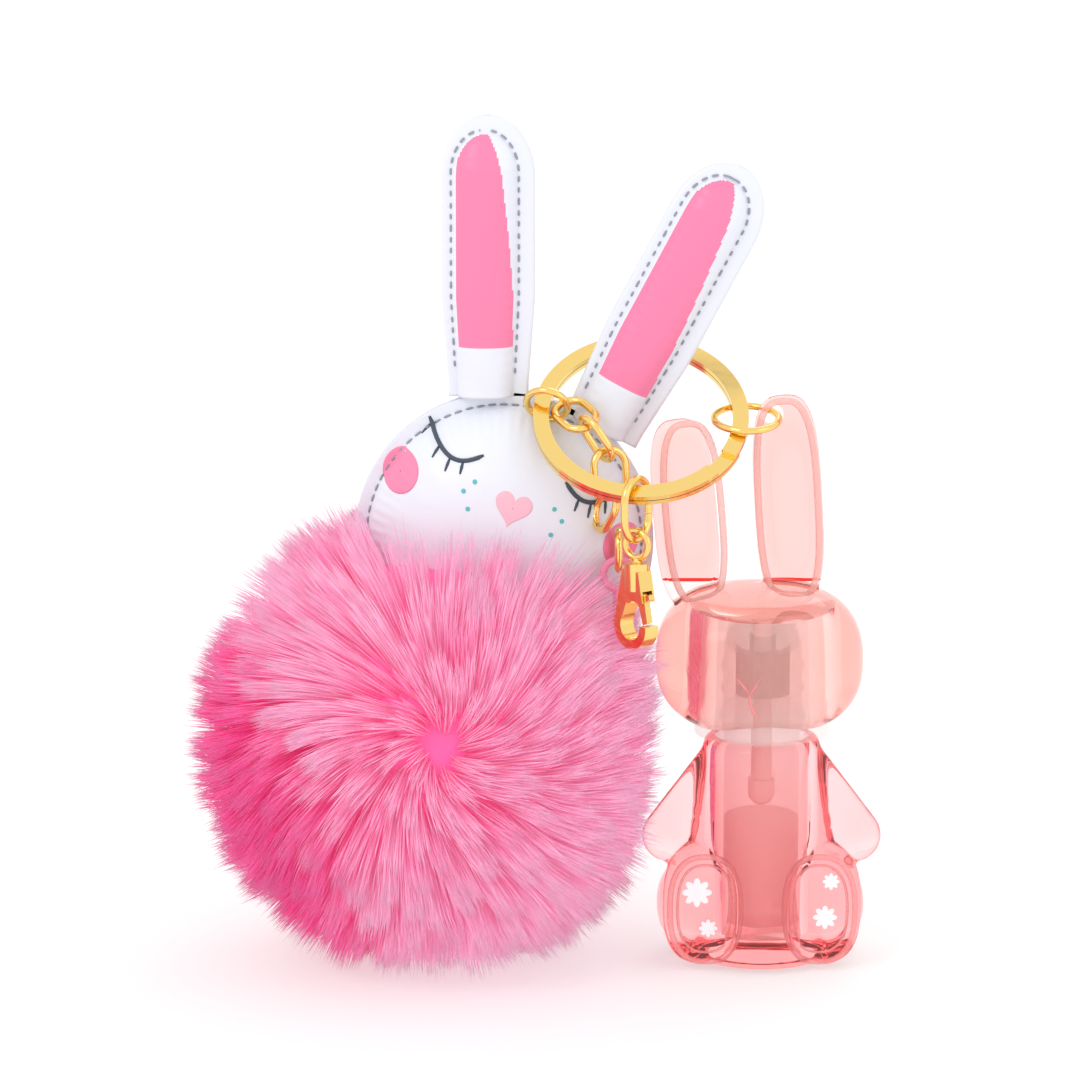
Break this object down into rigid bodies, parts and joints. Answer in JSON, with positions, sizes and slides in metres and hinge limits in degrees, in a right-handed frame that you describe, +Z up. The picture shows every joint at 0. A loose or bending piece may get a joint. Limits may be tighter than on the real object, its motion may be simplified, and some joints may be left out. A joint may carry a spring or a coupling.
{
  "type": "plush keychain",
  "caption": "Fur pom-pom bunny keyring charm with padded head and ears, split ring, short chain, clasp and a clear bunny bottle.",
  "frame": {"origin": "middle of the part's box on the floor plane, under the joint of pom-pom and bottle", "axes": "+Z up, -Y out of the bunny's face, +X to the clear bottle's side"},
  "size_m": [0.0968, 0.069, 0.1194],
  "materials": {
    "pink_fur": "long soft pile",
    "stuffing": "polyester fibre",
    "pink_cord": "woven cord",
    "white_leatherette": "smooth coated",
    "printed_leatherette": "smooth coated, printed pink",
    "gold_metal": "polished, plated",
    "spring_steel": "bright wire",
    "clear_peach": "clear tinted plastic, polished",
    "clear_liner": "translucent",
    "applicator_flock": "short flock",
    "clear_coral": "clear tinted plastic, polished",
    "gloss": "liquid"
  },
  "bodies": {
    "plush": {"pompom_fur": "pink_fur", "pompom_stuffing": "stuffing", "hanging_loop": "pink_cord", "head_front_panel": "white_leatherette", "head_back_panel": "white_leatherette", "head_stuffing": "stuffing", "left_ear_front_panel": "printed_leatherette", "left_ear_back_panel": "white_leatherette", "left_ear_stuffing": "stuffing", "right_ear_front_panel": "printed_leatherette", "right_ear_back_panel": "white_leatherette", "right_ear_stuffing": "stuffing"},
    "split_ring": {"split_ring": "gold_metal"},
    "jump_ring": {"small_jump_ring": "gold_metal"},
    "link_a": {"chain_link_a": "gold_metal"},
    "link_b": {"chain_link_b": "gold_metal"},
    "link_c": {"chain_link_c": "gold_metal"},
    "link_d": {"chain_link_d": "gold_metal"},
    "link_e": {"chain_link_e": "gold_metal"},
    "open_link": {"open_link": "gold_metal"},
    "clasp_eye": {"clasp_eye": "gold_metal"},
    "clasp": {"clasp_body": "gold_metal", "lever_pin": "gold_metal", "lever_spring": "spring_steel"},
    "lever": {"clasp_lever": "gold_metal"},
    "charm_ring": {"charm_jump_ring": "gold_metal"},
    "cap": {"cap_shell": "clear_peach", "cap_liner": "clear_liner", "wand_stem": "clear_liner", "applicator_tip": "applicator_flock"},
    "wiper": {"wiper_plug": "clear_liner"},
    "bottle": {"bottle_shell": "clear_coral", "bottle_neck": "clear_coral", "gloss_fill": "gloss"}
  },
  "joints": [
    {"name": "ring_swing", "type": "hinge", "parent": "plush", "child": "split_ring", "pos_m": [0.0146, 0.0074, 0.0856], "axis": [-1, 0, 0], "range_deg": [0, 12]},
    {"name": "jump_ring_swing", "type": "hinge", "parent": "split_ring", "child": "jump_ring", "pos_m": [0.00097, -0.00003, 0.07939], "axis": [-0.1977, -0.7725, -0.6035], "range_deg": [0, 6]},
    {"name": "link_a_swing", "type": "hinge", "parent": "jump_ring", "child": "link_a", "pos_m": [0.00441, -0.00058, 0.07897], "axis": [0, -0.6157, 0.788], "range_deg": [-4, 3]},
    {"name": "link_b_swing", "type": "hinge", "parent": "link_a", "child": "link_b", "pos_m": [0.00731, -0.00472, 0.07708], "axis": [-0.8359, -0.4326, -0.338], "range_deg": [-2, 6]},
    {"name": "link_c_swing", "type": "hinge", "parent": "link_b", "child": "link_c", "pos_m": [0.01021, -0.00531, 0.07263], "axis": [-0.3256, 0.8863, -0.3293], "range_deg": [-3, 8]},
    {"name": "link_d_swing", "type": "hinge", "parent": "link_c", "child": "link_d", "pos_m": [0.01048, -0.00623, 0.06736], "axis": [0.94, 0.3411, -0.0112], "range_deg": [-8, 8]},
    {"name": "link_e_swing", "type": "hinge", "parent": "plush", "child": "link_e", "pos_m": [0.0115, -0.0052, 0.0583], "axis": [1, 0, 0], "range_deg": [-8, 8]},
    {"name": "open_link_swing", "type": "hinge", "parent": "split_ring", "child": "open_link", "pos_m": [0.01387, -0.01314, 0.06915], "axis": [1, 0, 0], "range_deg": [-4, 4]},
    {"name": "clasp_eye_swing", "type": "hinge", "parent": "open_link", "child": "clasp_eye", "pos_m": [0.01387, -0.01314, 0.06285], "axis": [0.5736, 0.8192, 0], "range_deg": [-10, 10]},
    {"name": "clasp_swivel", "type": "hinge", "parent": "clasp_eye", "child": "clasp", "pos_m": [0.01387, -0.01314, 0.058], "axis": [0, 0, 1], "continuous": true},
    {"name": "lever_open", "type": "hinge", "parent": "clasp", "child": "lever", "pos_m": [0.01458, -0.01398, 0.0549], "axis": [0.766, 0.6428, 0], "range_deg": [0, 20], "stiffness_Nm_per_rad": 0.002, "springref_deg": -11.46},
    {"name": "charm_ring_swing", "type": "hinge", "parent": "split_ring", "child": "charm_ring", "pos_m": [0.0285, -0.0025, 0.0775], "axis": [-0.03, -0.7871, -0.6161], "range_deg": [0, 4]},
    {"name": "charm_swing", "type": "hinge", "parent": "charm_ring", "child": "cap", "pos_m": [0.0329, 0, 0.078], "axis": [-1, 0, 0], "range_deg": [0, 5]},
    {"name": "cap_pull_off", "type": "slide", "parent": "cap", "child": "wiper", "axis": [0, 0, -1], "range_m": [0, 0.024]},
    {"name": "cap_turn", "type": "hinge", "parent": "wiper", "child": "bottle", "pos_m": [0.0318, 0, 0.04], "axis": [0, 0, 1], "continuous": true}
  ]
}
